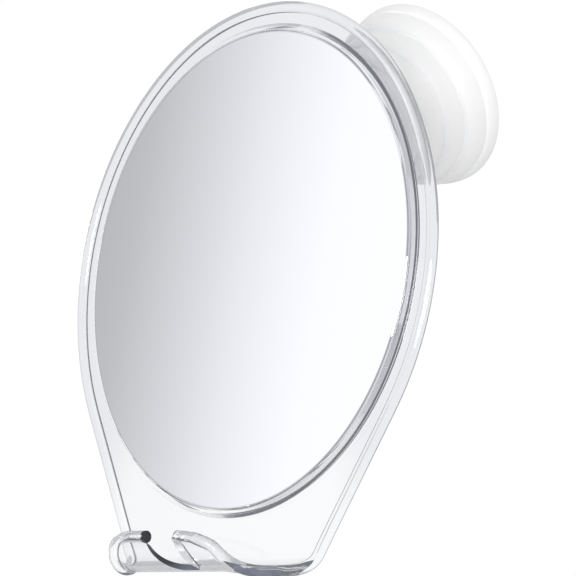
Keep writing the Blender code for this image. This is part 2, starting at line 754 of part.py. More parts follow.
def slotted_screw(name, seat, length, radius, head_radius, head_height, direction, finish,
                  parent, place):
    """Build a screw along Y: head beyond the seat, shank into it.

    direction is +1 where the head is on the +Y side of the seat."""
    crown = head_height * SCREW_CROWN_share
    screw = turned(name, [
        (0, seat - direction * length),
        (radius, seat - direction * (length - radius)),
        (radius, seat),
        (head_radius, seat),
        (head_radius, seat + direction * crown),
        (head_radius * SCREW_TAPER_share, seat + direction * head_height),
        (0, seat + direction * head_height),
    ], finish, parent, place, SCREW_SEGMENTS)
    depth = SCREW_SLOT_DEPTH
    centre = seat + direction * (head_height - depth / 2 + OVERRUN / 2)
    size = (SCREW_SLOT_REACH_share * head_radius, depth + OVERRUN, SCREW_SLOT_WIDTH)
    slot = as_cutter(box(name + "_slot", size, (0, centre, 0), finish, parent, place))
    combine(screw, slot, "DIFFERENCE")
    return screw


def ball_joint(head, pivot, head_finish, liner_finish, rubber, steel):
    """Build what holds the ball: base, screws, ring, liner and collar."""
    socket_base(head, head_finish)
    offset = math.tau / SOCKET_SCREWS / 2
    seat = SOCKET_FLANGE_BACK + CLEARANCE - BALL_DEPTH
    for i, where in enumerate(circle_places(SOCKET_SCREWS, SOCKET_SCREW_CIRCLE, offset), 1):
        slotted_screw(f"socket_screw_{i}", seat, SCREW_LENGTH, SCREW_RADIUS,
                      SCREW_HEAD_RADIUS, SCREW_HEAD_HEIGHT, 1, steel, head, where)
    reach = LINER_OUTER_RADIUS + CLEARANCE + FRICTION_RING_WIRE / 2
    ring_radius = reach * math.sin(FRICTION_RING_ANGLE)
    ring_y = -reach * math.cos(FRICTION_RING_ANGLE)
    wire = wire_points(ring_radius, ring_y, FRICTION_RING_WIRE / 2)
    turned("friction_ring", wire, rubber, head)
    inner = arc_points(LINER_INNER_RADIUS, LINER_MOUTH, math.pi - LINER_HOLE, LINER_POINTS)
    outer = arc_points(LINER_OUTER_RADIUS, math.pi - LINER_HOLE, LINER_MOUTH, LINER_POINTS)
    turned("ball_liner", inner + outer, liner_finish, pivot)
    collar(head, head_finish)


def collar(head, finish):
    """Build the friction collar, whose lip holds the ball in the socket."""
    lip = arc_points(SEAT_RADIUS, COLLAR_LIP, COLLAR_SEAT_END, COLLAR_POINTS)
    mouth = SEAT_RADIUS * math.sin(COLLAR_LIP) + COLLAR_FLARE
    shelf = SOCKET_RIM_ABOVE_BALL + CLEARANCE
    edge = COLLAR_WALL * COLLAR_EDGE_share
    made = turned("socket_collar", [
        (mouth, COLLAR_TOP),
        *lip,
        (SEAT_RADIUS, shelf),
        (COLLAR_INNER_RADIUS, shelf),
        (COLLAR_INNER_RADIUS, -COLLAR_SKIRT),
        (COLLAR_RADIUS, -COLLAR_SKIRT),
        (COLLAR_RADIUS, COLLAR_TOP - edge),
        (COLLAR_RADIUS - edge, COLLAR_TOP),
    ], finish, head, segments=KNOB_SEGMENTS)
    reach = COLLAR_RADIUS + COLLAR_GRIP_RADIUS - COLLAR_GRIP_DEPTH
    for i, where in enumerate(circle_places(COLLAR_GRIPS, reach), 1):
        groove = as_cutter(cylinder(f"grip_{i}", COLLAR_GRIP_RADIUS, -COLLAR_SKIRT - OVERRUN,
                                    COLLAR_TOP + OVERRUN, finish, head, where,
                                    SCREW_SEGMENTS))
        combine(made, groove, "DIFFERENCE")
    return made


def swivel(stem, stud_finish, steel, white):
    """Build the ball stud, the screw and washer that let it turn, and the stem."""
    foot = -STUD_FOOT_TO_WALL
    neck = math.asin(NECK_RADIUS / BALL_RADIUS)
    ball = arc_points(BALL_RADIUS, math.pi, neck, BALL_POINTS)
    ball = [(0 if i == 0 else r, y - BALL_TO_WALL) for i, (r, y) in enumerate(ball)]
    shank_end = foot + SHANK_LENGTH
    screw_hole = shank_end - SWIVEL_SCREW_LENGTH - CLEARANCE
    fillet = (SHOULDER_RADIUS - NECK_RADIUS) / 2
    turned("ball_stud", ball + [
        (NECK_RADIUS, -SHOULDER_TO_WALL - fillet),
        (NECK_RADIUS + fillet, -SHOULDER_TO_WALL),
        (SHOULDER_RADIUS, -SHOULDER_TO_WALL + fillet),
        (SHOULDER_RADIUS, foot),
        (SHANK_RADIUS, foot),
        (SHANK_RADIUS, shank_end),
        (SWIVEL_SCREW_RADIUS + CLEARANCE, shank_end),
        (SWIVEL_SCREW_RADIUS + CLEARANCE, screw_hole),
        (0, screw_hole),
    ], stud_finish, stem)
    washer = shank_end + CLEARANCE
    washer_back = washer + SWIVEL_WASHER_THICKNESS
    turned("swivel_washer", [
        (SWIVEL_SCREW_RADIUS + CLEARANCE, washer),
        (STEM_BORE_RADIUS - CLEARANCE, washer),
        (STEM_BORE_RADIUS - CLEARANCE, washer_back),
        (SWIVEL_SCREW_RADIUS + CLEARANCE, washer_back),
    ], steel, stem, segments=SCREW_SEGMENTS)
    seat = washer_back + CLEARANCE
    slotted_screw("swivel_screw", seat, seat - shank_end + SWIVEL_SCREW_LENGTH,
                  SWIVEL_SCREW_RADIUS, STEM_BORE_RADIUS - 2 * CLEARANCE,
                  SWIVEL_HEAD_HEIGHT, 1, steel, stem, (0, 0, 0))
    front = -STEM_FRONT_TO_WALL
    land = -SWIVEL_LAND_TO_WALL
    back = -STEM_FOOT_TO_WALL
    body = turned("pull_stem", [
        (SHANK_RADIUS + CLEARANCE, front),
        (STEM_RADIUS, front),
        (STEM_RADIUS, back),
        (STEM_BORE_RADIUS, back),
        (STEM_BORE_RADIUS, land),
        (SHANK_RADIUS + CLEARANCE, land),
    ], white, stem)
    cross = as_cutter(cylinder("pin_hole", PIN_RADIUS + CLEARANCE, -STEM_RADIUS - OVERRUN,
                               STEM_RADIUS + OVERRUN, white, stem,
                               (0, -PIN_TO_WALL, 0), SCREW_SEGMENTS))
    cross.rotation_euler = (0, 0, math.radians(90))
    combine(body, cross, "DIFFERENCE")
    pin = cylinder("cross_pin", PIN_RADIUS, -PIN_HALF_LENGTH, PIN_HALF_LENGTH, steel, stem,
                   (0, -PIN_TO_WALL, 0), SCREW_SEGMENTS)
    pin.rotation_euler = (0, 0, math.radians(90))


def knob_profile():
    """Return the (radius, y) outline of the stepped knob: convex tiers to the wall."""
    points = []
    y = -KNOB_FRONT_TO_WALL
    radius = FRONT_RADIUS
    points.append((radius - FRONT_ROUND, y))
    for tier in range(TIERS - 1):
        rise = TIER_STEP if tier else TIER_STEP + FRONT_ROUND
        start = radius if tier else radius - FRONT_ROUND
        for k in range(1, TIER_POINTS + 1):
            turn = math.pi / 2 * k / TIER_POINTS
            points.append((start + rise * math.sin(turn),
                           y + TIER_PITCH * (1 - math.cos(turn))))
        radius += TIER_STEP
        y += TIER_PITCH
    crest = BASE_LENGTH * BASE_CREST_share
    for k in range(1, TIER_POINTS + 1):
        turn = math.pi / 2 * k / TIER_POINTS
        points.append((radius + (BASE_RADIUS - radius) * math.sin(turn),
                       y + crest * (1 - math.cos(turn))))
    fall = BASE_LENGTH - crest
    for k in range(1, TIER_POINTS):
        turn = math.pi / 2 * k / (TIER_POINTS - 1)
        points.append((BASE_RADIUS - (BASE_RADIUS - BACK_RADIUS) * (1 - math.cos(turn)),
                       y + crest + fall * math.sin(turn)))
    return points


def stepped_knob(knob, finish):
    """Build the twist knob: stepped shell, front wall and cam hub."""
    outline = knob_profile()
    front = -KNOB_FRONT_TO_WALL
    back = -KNOB_TO_WALL
    inside_front = front + KNOB_WALL
    hub_end = -CAM_FLANGE_FRONT - CLEARANCE
    gland = inside_front + SEAL_HOUSING_DEPTH
    seal = STEM_RADIUS + STEM_SEAL_WIRE + 2 * CLEARANCE
    base_start = back - BASE_LENGTH
    bore = BACK_RADIUS - BACK_LIP
    cone_radius = FRONT_RADIUS + (TIERS - 1) * TIER_STEP - KNOB_WALL * WALL_SLANT_share
    cone_end = HUB_OUTER_RADIUS + CAVITY_MARGIN
    cone_length = (cone_radius - cone_end) * TIER_PITCH / TIER_STEP
    made = turned("stepped_knob", [
        (STEM_RADIUS + CLEARANCE, front),
        *outline,
        (bore, back),
        (bore, base_start + BASE_LENGTH / 2),
        (cone_radius, base_start),
        (cone_end, base_start - cone_length),
        (HUB_OUTER_RADIUS, base_start - cone_length),
        (HUB_OUTER_RADIUS, hub_end),
        (HUB_INNER_RADIUS, hub_end),
        (HUB_INNER_RADIUS, gland),
        (seal, gland),
        (seal, inside_front),
        (STEM_RADIUS + CLEARANCE, inside_front),
    ], finish, knob, segments=KNOB_SEGMENTS)
    circle = (HUB_INNER_RADIUS + HUB_OUTER_RADIUS) / 2
    for i, where in enumerate(circle_places(CAM_SCREWS, circle, CAM_SCREW_START), 1):
        hole = as_cutter(cylinder(f"cam_pilot_{i}", CAM_SCREW_RADIUS + CLEARANCE,
                                  hub_end - CAM_SCREW_LENGTH, hub_end + OVERRUN, finish, knob,
                                  where, SCREW_SEGMENTS))
        combine(made, hole, "DIFFERENCE")
    return made


def cam_ring(knob, finish, steel):
    """Build the cam ring: screwed flange and two ramps that lift the cross pin."""
    foot = -CAM_FOOT_TO_WALL
    flange = -CAM_FLANGE_FRONT
    ring = turned("cam_ring", [
        (CAM_INNER_RADIUS, foot),
        (HUB_OUTER_RADIUS, foot),
        (HUB_OUTER_RADIUS, flange),
        (CAM_INNER_RADIUS, flange),
    ], finish, knob)
    root = -(CAM_FOOT_TO_WALL + CAM_FLANGE_THICKNESS / 2)
    span = LOCK_TURN + 2 * CAM_LEAD_IN
    for half in (0, 1):
        sections = []
        for k in range(CAM_STEPS + 1):
            angle = -CAM_LEAD_IN + span * k / CAM_STEPS
            top = -(PIN_TO_WALL - PIN_RADIUS - CLEARANCE + LOCK_TRAVEL / LOCK_TURN * angle)
            turn = angle + math.pi * half
            across = Vector((math.cos(turn), 0, math.sin(turn)))
            near = across * (CAM_INNER_RADIUS + CLEARANCE * RAMP_GAP_share)
            far = across * CAM_RADIUS
            sections.append((near + Vector((0, root, 0)), far + Vector((0, root, 0)),
                             far + Vector((0, top, 0)), near + Vector((0, top, 0))))
        ramp = as_cutter(strip_solid(f"ramp_{half + 1}", sections, finish, knob, (0, 0, 0)))
        combine(ring, ramp, "UNION")
    circle = (HUB_INNER_RADIUS + HUB_OUTER_RADIUS) / 2
    seat = foot - CAM_SCREW_HEAD_HEIGHT - CLEARANCE
    for i, where in enumerate(circle_places(CAM_SCREWS, circle, CAM_SCREW_START), 1):
        hole = as_cutter(cylinder(f"cam_hole_{i}", CAM_SCREW_RADIUS + CLEARANCE,
                                  flange - OVERRUN, foot + OVERRUN, finish, knob, where,
                                  SCREW_SEGMENTS))
        combine(ring, hole, "DIFFERENCE")
        sink = as_cutter(cylinder(f"cam_sink_{i}", CAM_SCREW_HEAD_RADIUS + CLEARANCE,
                                  seat - CLEARANCE, foot + OVERRUN, finish, knob, where,
                                  SCREW_SEGMENTS))
        combine(ring, sink, "DIFFERENCE")
        slotted_screw(f"cam_screw_{i}", seat, CAM_SCREW_LENGTH, CAM_SCREW_RADIUS,
                      CAM_SCREW_HEAD_RADIUS, CAM_SCREW_HEAD_HEIGHT, 1, steel, knob, where)
    return ring


def stem_seal(knob, rubber):
    """Build the seal that keeps water out round the stem."""
    radius = STEM_RADIUS + CLEARANCE + STEM_SEAL_WIRE / 2
    y = -KNOB_FRONT_TO_WALL + KNOB_WALL + CLEARANCE + STEM_SEAL_WIRE / 2
    turned("stem_seal", wire_points(radius, y, STEM_SEAL_WIRE / 2), rubber, knob)


def suction_base(base, white, clear, acetal):
    """Build the pressure ring, its thrust washer, the pad and its insert."""
    ring_front = -RING_FRONT_TO_WALL
    ring_back = -RING_BACK_TO_WALL
    skirt_back = -(PAD_THICKNESS + CLEARANCE)
    ring = turned("pressure_ring", [
        (GUIDE_INNER_RADIUS, ring_front - GUIDE_LENGTH),
        (GUIDE_RADIUS, ring_front - GUIDE_LENGTH),
        (GUIDE_RADIUS, ring_front),
        (RING_FACE_RADIUS, ring_front),
        (SKIRT_RADIUS, -RING_SLOPE_TO_WALL),
        (SKIRT_RADIUS, skirt_back),
        (SKIRT_RADIUS - SKIRT_WALL, skirt_back),
        (SKIRT_RADIUS - SKIRT_WALL, ring_back),
        (GUIDE_INNER_RADIUS, ring_back),
    ], white, base, segments=KNOB_SEGMENTS)
    margin = PIN_RADIUS + CLEARANCE + GUIDE_SLOT_MARGIN
    slot_back = -PIN_TO_WALL + margin
    slot_front = -PIN_TO_WALL - LOCK_TRAVEL - margin
    slot = as_cutter(box("guide_slots", (2 * (GUIDE_RADIUS + OVERRUN), slot_back - slot_front,
                                         2 * (PIN_RADIUS + CLEARANCE)),
                         (0, (slot_back + slot_front) / 2, 0), white, base))
    combine(ring, slot, "DIFFERENCE")
    turned("thrust_washer", [
        (CAM_INNER_RADIUS, -WASHER_TO_WALL - WASHER_THICKNESS),
        (WASHER_RADIUS, -WASHER_TO_WALL - WASHER_THICKNESS),
        (WASHER_RADIUS, -WASHER_TO_WALL),
        (CAM_INNER_RADIUS, -WASHER_TO_WALL),
    ], acetal, base)
    lip_inner = INSERT_NECK_RADIUS + CLEARANCE
    cavity = INSERT_RADIUS + CLEARANCE
    lip_under = -(INSERT_BACK_TO_WALL + CLEARANCE)
    turned("suction_pad", [
        (0, -PAD_FLOOR),
        (cavity, -PAD_FLOOR),
        (cavity, lip_under),
        (lip_inner, lip_under),
        (lip_inner, -PAD_BOSS_HEIGHT),
        (PAD_BOSS_RADIUS, -PAD_BOSS_HEIGHT),
        (PAD_BOSS_RADIUS, -PAD_THICKNESS),
        (PAD_RADIUS - PAD_EDGE_WIDTH, -PAD_THICKNESS),
        (PAD_RADIUS, -PAD_EDGE_THICKNESS),
        (PAD_RADIUS, 0),
        (0, 0),
    ], clear, base, segments=KNOB_SEGMENTS)


def pad_insert(stem, finish):
    """Build the insert moulded into the pad, whose stud holds the stem."""
    neck = -(STEM_FOOT_TO_WALL - CLEARANCE)
    turned("pad_insert", [
        (0, -INSERT_FRONT_TO_WALL),
        (INSERT_RADIUS, -INSERT_FRONT_TO_WALL),
        (INSERT_RADIUS, -INSERT_BACK_TO_WALL),
        (INSERT_NECK_RADIUS, -INSERT_BACK_TO_WALL),
        (INSERT_NECK_RADIUS, neck),
        (INSERT_STUD_RADIUS, neck),
        (INSERT_STUD_RADIUS, neck - INSERT_STUD_LENGTH),
        (0, neck - INSERT_STUD_LENGTH),
    ], finish, stem)


def empty(name, place, rotation=(0, 0, 0)):
    """Return an empty that carries a moving group on its joint's axis."""
    made = bpy.data.objects.new(name, None)
    PARTS.objects.link(made)
    made.location = place
    made.rotation_euler = rotation
    return made


def build():
    """Build the whole mirror."""
    clear_plastic = material("clear_acrylic", (0.93, 0.95, 0.96), 0.05, alpha=0.35,
                             transmission=0.9)
    silver = material("silvered_mirror", (0.86, 0.88, 0.90), 0.03, metallic=1.0)
    tape = material("grey_foam_tape", (0.55, 0.56, 0.58), 0.8)
    white = material("white_abs", (0.92, 0.92, 0.93), 0.45)
    steel = material("stainless_steel", (0.62, 0.62, 0.64), 0.3, metallic=1.0)
    acetal = material("acetal", (0.86, 0.86, 0.84), 0.4)
    rubber = material("black_rubber", (0.04, 0.04, 0.045), 0.7)
    soft = material("clear_soft_vinyl", (0.80, 0.83, 0.86), 0.25, alpha=0.6,
                    transmission=0.5)

    ball = (0, -BALL_TO_WALL, 0)
    head = empty("head_pivot", ball, (TILT, 0, PAN))
    pivot = empty("liner_pivot", ball, (0, 0, PAN))
    knob = empty("knob_axis", (0, 0, 0))
    stem = empty("stem_axis", (0, 0, 0))
    base = empty("wall_base", (0, 0, 0))
    face = (0, -BALL_DEPTH, -BALL_HEIGHT)

    clear_frame(head, face, clear_plastic)
    mirror_parts(head, face, silver, tape)
    ball_joint(head, pivot, white, acetal, rubber, steel)
    swivel(stem, white, steel, acetal)
    stepped_knob(knob, white)
    cam_ring(knob, acetal, steel)
    stem_seal(knob, rubber)
    suction_base(base, white, soft, acetal)
    pad_insert(stem, steel)


clear_scene()
PARTS = new_collection("shower_mirror")
CUTTERS = new_collection("cutters")
build()
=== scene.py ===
"""Looks of the shower mirror: materials, finished pieces, studio and camera.

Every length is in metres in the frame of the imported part.  The mirror head
has its own frame: x right, y from the mirror's face to its back, z up.
"""

import math

import bmesh
import bpy
import numpy as np
from mathutils import Matrix, Vector


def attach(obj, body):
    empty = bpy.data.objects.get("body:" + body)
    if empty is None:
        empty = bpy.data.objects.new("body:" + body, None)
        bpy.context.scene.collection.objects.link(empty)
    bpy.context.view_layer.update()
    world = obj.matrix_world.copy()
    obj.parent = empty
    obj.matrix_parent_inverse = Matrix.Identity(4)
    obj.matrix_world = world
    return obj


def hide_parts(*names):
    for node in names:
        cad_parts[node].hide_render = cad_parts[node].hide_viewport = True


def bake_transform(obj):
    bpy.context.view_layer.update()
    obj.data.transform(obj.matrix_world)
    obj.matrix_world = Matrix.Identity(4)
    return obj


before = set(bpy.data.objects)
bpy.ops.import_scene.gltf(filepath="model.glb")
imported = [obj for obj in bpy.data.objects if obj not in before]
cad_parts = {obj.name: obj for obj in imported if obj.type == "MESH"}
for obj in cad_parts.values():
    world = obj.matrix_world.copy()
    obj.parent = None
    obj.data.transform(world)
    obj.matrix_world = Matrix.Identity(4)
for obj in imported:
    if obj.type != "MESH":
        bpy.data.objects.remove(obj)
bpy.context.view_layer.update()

MM = 0.001

# The head's frame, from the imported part
BALL_TO_WALL = 61.0 * MM
BALL_DEPTH = 19.4 * MM
BALL_HEIGHT = 38.9 * MM
TILT = math.radians(-30.6)
PAN = math.radians(-6.9)

# The camera's axes, and the point of the head it looks past
LOOK = Vector((-0.69257, 0.68493, -0.22632))
RIGHT = Vector((0.71894, 0.62976, -0.29415))
DOWN = Vector((-0.05895, -0.36643, -0.92858))
PIXELS = 576
PIXELS_PER_METRE = 3120.0
FACE_AT = (250.0, 269.5)
LENS = 1600.0
SENSOR = 36.0

# The gradient card: its fall over the mirror, and its distance and half width
FALL = math.radians(10)
CARD_AWAY, CARD_HALF = 0.42, 0.16

TURN = Matrix.Rotation(PAN, 3, "Z") @ Matrix.Rotation(TILT, 3, "X")
HEAD = np.array(TURN)
BALL = np.array((0.0, -BALL_TO_WALL, 0.0))
FACE = np.array((0.0, -BALL_DEPTH, -BALL_HEIGHT))


def from_head(points):
    """World places of points in the head's frame: turn after the shift to the ball."""
    return (np.asarray(points, float) + FACE) @ HEAD.T + BALL


# The clear frame in its own head frame, millimetres
WEB_FRONT, WEB_BACK = 3.0, 4.9
SHEET_FRONT, SHEET_BACK = 2.0, 4.0
MIRROR_RADIUS, POCKET_RADIUS, BOSS_RADIUS, BOSS_FOOT = 77.8, 78.1, 79.1, 80.3
PATH_RADIUS, PATH_DROP, BEAD_RADIUS = 86.5, 0.85, 2.0
SIDE_ANGLE = math.radians(30.7)
CURL_DROP, CURL_HALF, SIDE_HALF = 91.8, 43.1, 46.65
CURL_INNER, CURL_OUTER, CURL_PATH, CURL_AXIS = 4.4, 6.4, 5.4, -2.4
LIP_END, SADDLE, NOTCH_FLOOR = (math.radians(a) * CURL_PATH for a in (240, 82, 107))
NOTCH_TOP_LEFT, NOTCH_FOOT_LEFT = -31.0, -10.5
NOTCH_TOP_RIGHT, NOTCH_FOOT_RIGHT = -15.3, -3.2
WAVE = ((-6.0, 21.4), (6.0, 18.0))
WAVE_FOOT = 25.0
SADDLE_SAG = 1.0
WEB_MIDDLE = 40.0

# The shell's grid: rows round the edge, the run in before the bead, and the
# directions from the mirror's middle that the columns at the notch take
EDGE_ROWS = 22
EASE_IN = 1.2
CUT_ROUND = 0.12
# LINE_ROWS: rows of the thin painted dark line along the right cut.
LINE_ROWS = 7
LEFT_CUT_TURNS = 246.2, 247.0
RIGHT_CUT_TURNS = 296.5, 300.0
SHARP_BEND = 32.0


class Finish:
    """A node material with one shader, and helpers that feed its sockets."""

    def __init__(self, name, **sockets):
        self.material = bpy.data.materials.new(name)
        self.material.use_nodes = True
        self.nodes = self.material.node_tree.nodes
        self.links = self.material.node_tree.links
        self.shader = self.nodes["Principled BSDF"]
        for socket, value in sockets.items():
            self.shader.inputs[socket.replace("_", " ")].default_value = value
        self.place = self.nodes.new("ShaderNodeTexCoord").outputs["Object"]

    def node(self, kind, **settings):
        """A new node with its settings, and inputs given by their names."""
        made = self.nodes.new(kind)
        for key, value in settings.items():
            if hasattr(made, key):
                setattr(made, key, value)
                continue
            socket = made.inputs[key.replace("_", " ")]
            if isinstance(value, bpy.types.NodeSocket):
                self.links.new(value, socket)
            else:
                socket.default_value = value
        return made

    def noise(self, size, detail=2.0, stretch=None):
        """Noise whose grains are about size metres, drawn out where stretch says."""
        source = self.place
        if stretch:
            source = self.node("ShaderNodeMapping", Vector=source, Scale=stretch).outputs[0]
        made = self.node("ShaderNodeTexNoise", Vector=source, Scale=1.0 / size,
                         Detail=detail, Roughness=0.55)
        return made.outputs["Fac"]

    def ranged(self, value, low, high, at=(0.3, 0.7)):
        """A value mapped from its usual span to low and high."""
        made = self.node("ShaderNodeMapRange", Value=value, From_Min=at[0], From_Max=at[1],
                         To_Min=low, To_Max=high)
        return made.outputs["Result"]

    def blend(self, share, one, two):
        """Two colours mixed by a share."""
        made = self.node("ShaderNodeMix", data_type="RGBA")
        for key, value in ((0, share), (6, one), (7, two)):
            if isinstance(value, bpy.types.NodeSocket):
                self.links.new(value, made.inputs[key])
            else:
                made.inputs[key].default_value = value
        return made.outputs[2]

    def distance(self, centre):
        """Distance of each place from a centre, in metres."""
        made = self.node("ShaderNodeVectorMath", operation="DISTANCE")
        self.links.new(self.place, made.inputs[0])
        made.inputs[1].default_value = centre
        return made.outputs["Value"]

    def feed(self, socket, value):
        """Link a value to one of the shader's sockets."""
        self.links.new(value, self.shader.inputs[socket])

    def bump(self, height, distance, strength=1.0):
        """Raise the surface by a height map, distance metres at most."""
        made = self.node("ShaderNodeBump", Height=height, Distance=distance,
                         Strength=strength)
        self.feed("Normal", made.outputs["Normal"])


def clear_acrylic():
    """Polished clear acrylic with faint flow ripples and a trace of handling haze. Its colour is
    painted a little greyer round its rim and painted dark grey at faces near the bead that turn
    away, both as painted shade, and it glows faintly as painted light."""
    # Painted light: the faint bluish emission makes the clear sheet glow a little, lifting its
    # dark places.
    made = Finish("clear_acrylic", IOR=1.35, Transmission_Weight=1.0,
                  Emission_Color=(0.86, 0.9, 1.0, 1), Emission_Strength=0.03)
    # Painted shade: the sheet's tint turns greyer from 55 to 75 mm away from the curl's bottom,
    # darkening the upper rim.
    lip = made.distance(tuple(from_head(np.array((0.0, 0.0, -CURL_DROP)) * MM)))
    rim = made.ranged(lip, 0.0, 1.0, (55 * MM, 75 * MM))
    body = made.blend(rim, (0.88, 0.885, 0.89, 1), (0.775, 0.78, 0.80, 1))
    # Painted shade: faces turned away, beyond 82 to 84 mm from the middle, are painted towards
    # dark grey, drawing dark lines along the bead.
    facing = made.node("ShaderNodeLayerWeight", Blend=0.5).outputs["Facing"]
    middle = made.distance(tuple(from_head((0, 0, 0))))
    slant = made.node("ShaderNodeMath", operation="MULTIPLY")
    made.links.new(made.ranged(facing, 0.0, 1.0, (0.40, 0.8)), slant.inputs[0])
    made.links.new(made.ranged(middle, 0.0, 1.0, (82 * MM, 84 * MM)), slant.inputs[1])
    made.feed("Base Color", made.blend(slant.outputs[0], body, (0.38, 0.38, 0.41, 1)))
    made.feed("Roughness", made.ranged(made.noise(9 * MM, 3.0), 0.025, 0.06))
    made.bump(made.noise(26 * MM, 1.0), 0.02 * MM, 0.35)
    return made.material


def painted_shade_edge():
    """Painted shade for the saw-cut edge of the sheet and the saddle's underside: near black where
    clear plastic only traps the light, turning to a paler painted blue-grey 14 to 22 mm away from
    the notch's top left corner.
    """
    made = Finish("painted_shade_edge", IOR=1.49, Specular_IOR_Level=0.25)
    tone = made.ranged(made.noise(4 * MM, 2.0), 0.0, 1.0)
    dark = made.blend(tone, (0.022, 0.022, 0.030, 1), (0.05, 0.05, 0.06, 1))
    pale = made.blend(tone, (0.13, 0.14, 0.18, 1), (0.19, 0.20, 0.25, 1))
    # Painted shade: near black by the notch's left corner, paler blue-grey further off.
    middle = made.distance(tuple(from_head(np.array((NOTCH_TOP_LEFT, -5.0, -94.0)) * MM)))
    run = made.ranged(middle, 0.0, 1.0, (14 * MM, 22 * MM))
    made.feed("Base Color", made.blend(run, dark, pale))
    made.feed("Roughness", made.ranged(made.noise(1.2 * MM, 2.0), 0.3, 0.45))
    return made.material


def silvered_mirror():
    """Silvered face under an anti-fog coat, its ground rim a soft grey."""
    made = Finish("silvered_mirror", Metallic=1.0)
    radius = made.distance(tuple(from_head((0, 0, 0))))
    rim = made.ranged(radius, 0.0, 1.0, (77.0 * MM, 77.6 * MM))
    made.feed("Base Color", made.blend(rim, (0.95, 0.955, 0.965, 1), (0.62, 0.63, 0.66, 1)))
    haze = made.ranged(made.noise(14 * MM, 3.0), 0.0, 0.022)
    made.feed("Roughness", haze)
    return made.material


def white_abs():
    """White moulded plastic: fine spark texture, soft sheen, faint tone drift."""
    made = Finish("white_abs", IOR=1.5)
    made.feed("Base Color", made.blend(made.ranged(made.noise(16 * MM, 2.0), 0, 1),
                                       (0.93, 0.93, 0.935, 1), (0.96, 0.96, 0.965, 1)))
    made.feed("Roughness", made.ranged(made.noise(1.5 * MM, 3.0), 0.38, 0.52))
    made.bump(made.noise(0.35 * MM, 2.0), 0.012 * MM, 0.5)
    return made.material


def steel():
    """Turned stainless steel with fine circular tool marks."""
    made = Finish("stainless_steel", Metallic=1.0)
    made.feed("Base Color", made.blend(made.ranged(made.noise(2 * MM, 3.0), 0, 1),
                                       (0.55, 0.55, 0.56, 1), (0.68, 0.68, 0.69, 1)))
    lines = made.noise(0.4 * MM, 2.0, (0.1, 1.0, 1.0))
    made.feed("Roughness", made.ranged(lines, 0.2, 0.42))
    made.bump(lines, 0.01 * MM, 0.4)
    return made.material


def acetal():
    """Off-white acetal, waxy, with faint turning rings."""
    made = Finish("acetal", IOR=1.48)
    made.feed("Base Color", made.blend(made.ranged(made.noise(6 * MM, 2.0), 0, 1),
                                       (0.80, 0.80, 0.77, 1), (0.87, 0.87, 0.84, 1)))
    made.feed("Roughness", made.ranged(made.noise(0.9 * MM, 2.0), 0.3, 0.45))
    made.bump(made.noise(0.5 * MM, 1.0), 0.01 * MM, 0.4)
    return made.material


def rubber():
    """Black seal rubber, matt, with a dusty bloom."""
    made = Finish("black_rubber", IOR=1.5)
    made.feed("Base Color", made.blend(made.ranged(made.noise(1.5 * MM, 3.0), 0, 1),
                                       (0.018, 0.018, 0.02, 1), (0.05, 0.05, 0.052, 1)))
    made.feed("Roughness", made.ranged(made.noise(0.8 * MM, 2.0), 0.55, 0.8))
    made.bump(made.noise(0.3 * MM, 2.0), 0.02 * MM, 0.5)
    return made.material


def foam_tape():
    """Grey foam tape, its open cells showing as fine pits."""
    made = Finish("grey_foam_tape")
    made.feed("Base Color", made.blend(made.ranged(made.noise(0.5 * MM, 3.0), 0, 1),
                                       (0.42, 0.43, 0.45, 1), (0.58, 0.59, 0.61, 1)))
    made.feed("Roughness", made.ranged(made.noise(0.7 * MM, 2.0), 0.75, 0.95))
    made.bump(made.noise(0.3 * MM, 2.0), 0.05 * MM, 0.6)
    return made.material


def soft_vinyl():
    """Clear soft vinyl of the suction pad, slightly milky, with a wet sheen."""
    made = Finish("clear_soft_vinyl", IOR=1.5, Transmission_Weight=0.75)
    made.feed("Base Color", made.blend(made.ranged(made.noise(8 * MM, 2.0), 0, 1),
                                       (0.86, 0.89, 0.92, 1), (0.92, 0.94, 0.96, 1)))
    made.feed("Roughness", made.ranged(made.noise(3 * MM, 3.0), 0.16, 0.32))
    made.bump(made.noise(2.5 * MM, 2.0), 0.05 * MM, 0.3)
    return made.material


ACRYLIC = clear_acrylic()
# Painted shade for the sheet's cut edges and the saddle's underside:
PAINTED_SHADE = painted_shade_edge()
SILVER = silvered_mirror()
WHITE = white_abs()
STEEL = steel()
ACETAL = acetal()
RUBBER = rubber()
FOAM = foam_tape()
VINYL = soft_vinyl()


def piece(name, mesh, body, finishes, stands_for):
    """Put a finished mesh on its body, if it has one, as what stands for its CAD node."""
    made = bpy.data.objects.new(name, mesh)
    bpy.context.scene.collection.objects.link(made)
    for finish in finishes:
        mesh.materials.append(finish)
    if body:
        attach(made, body)
    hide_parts(stands_for)
    return made


def filleted(profile, radii, steps=4):
    """Profile whose corners become arcs: each corner is cut back by the fillet's
    tangent length, at most 0.49 of its shorter side, and joined by an arc."""
    points = np.asarray(profile, float)
    radii = [radii] * (len(points) - 2) if np.isscalar(radii) else radii
    out = [points[0]]
    for before, corner, after, radius in zip(points[:-2], points[1:-1], points[2:], radii):
        one, two = before - corner, after - corner
        a, b = np.linalg.norm(one), np.linalg.norm(two)
        one, two = one / a, two / b
        half = math.acos(np.clip(one @ two, -1, 1)) / 2
        if half > math.radians(80):
            out.append(corner)
            continue
        reach = min(radius / math.tan(half), 0.49 * min(a, b))
        round_radius = reach * math.tan(half)
        middle = corner + (one + two) / np.linalg.norm(one + two) * (
            round_radius / math.sin(half))
        start, stop = corner + one * reach - middle, corner + two * reach - middle
        share = np.linspace(0, 1, steps + 1)[:, None]
        arc = start * (1 - share) + stop * share
        arc *= round_radius / np.linalg.norm(arc, axis=1)[:, None]
        out.extend(middle + arc)
    out.append(points[-1])
    return np.array(out)


